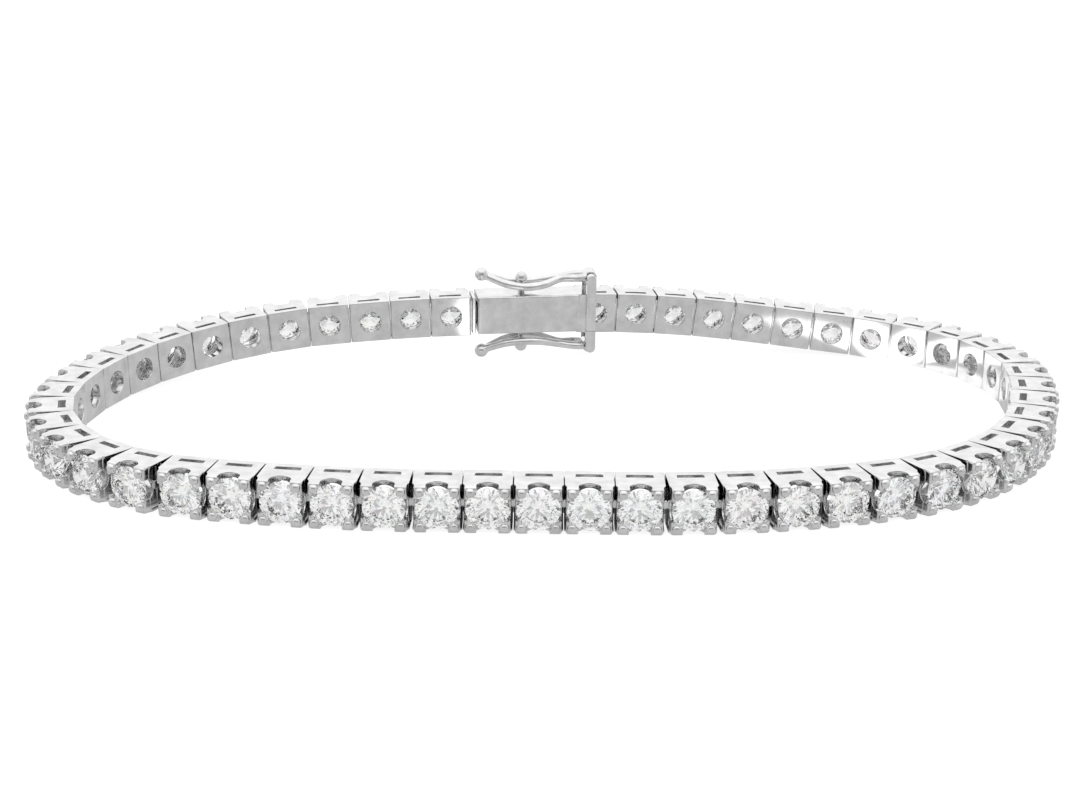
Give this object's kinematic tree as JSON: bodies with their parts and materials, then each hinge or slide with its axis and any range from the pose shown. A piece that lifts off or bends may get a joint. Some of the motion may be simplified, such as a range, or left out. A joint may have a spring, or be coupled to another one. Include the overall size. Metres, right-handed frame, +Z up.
{
  "type": "tennis bracelet",
  "caption": "Closed line bracelet of claw-set round stones on hinged square links, with a box clasp and a figure-eight safety catch on each side, standing on its edge.",
  "frame": {"origin": "centre of the bottom of the bounding box, on the surface that the bracelet stands on", "axes": "+X along the long way of the oval loop, +Y across it towards the clasp, +Z up along the width of the band"},
  "size_m": [0.0754, 0.0436, 0.0075],
  "materials": {
    "white_gold": "polished, rhodium plated",
    "diamond": "cut and polished"
  },
  "bodies": {
    "band": {"chain_run_01": "white_gold", "chain_run_02": "white_gold", "chain_run_03": "white_gold", "chain_run_04": "white_gold", "chain_run_05": "white_gold", "chain_run_06": "white_gold", "chain_run_07": "white_gold", "chain_run_08": "white_gold", "chain_run_09": "white_gold", "chain_run_10": "white_gold", "chain_run_11": "white_gold", "chain_run_12": "white_gold", "chain_run_13": "white_gold", "clasp_box": "white_gold", "clasp_tongue": "white_gold"},
    "upper_catch": {"catch_upper": "white_gold"},
    "lower_catch": {"catch_lower": "white_gold"}
  },
  "joints": [
    {"name": "upper_catch_hinge", "type": "hinge", "parent": "band", "child": "upper_catch", "pos_m": [0.00282, 0.0181, 0.00665], "axis": [-0.1478, 0.989, 0], "range_deg": [0, 100]},
    {"name": "lower_catch_hinge", "type": "hinge", "parent": "band", "child": "lower_catch", "pos_m": [0.00282, 0.0181, 0.00085], "axis": [0.1478, -0.989, 0], "range_deg": [0, 100]}
  ]
}
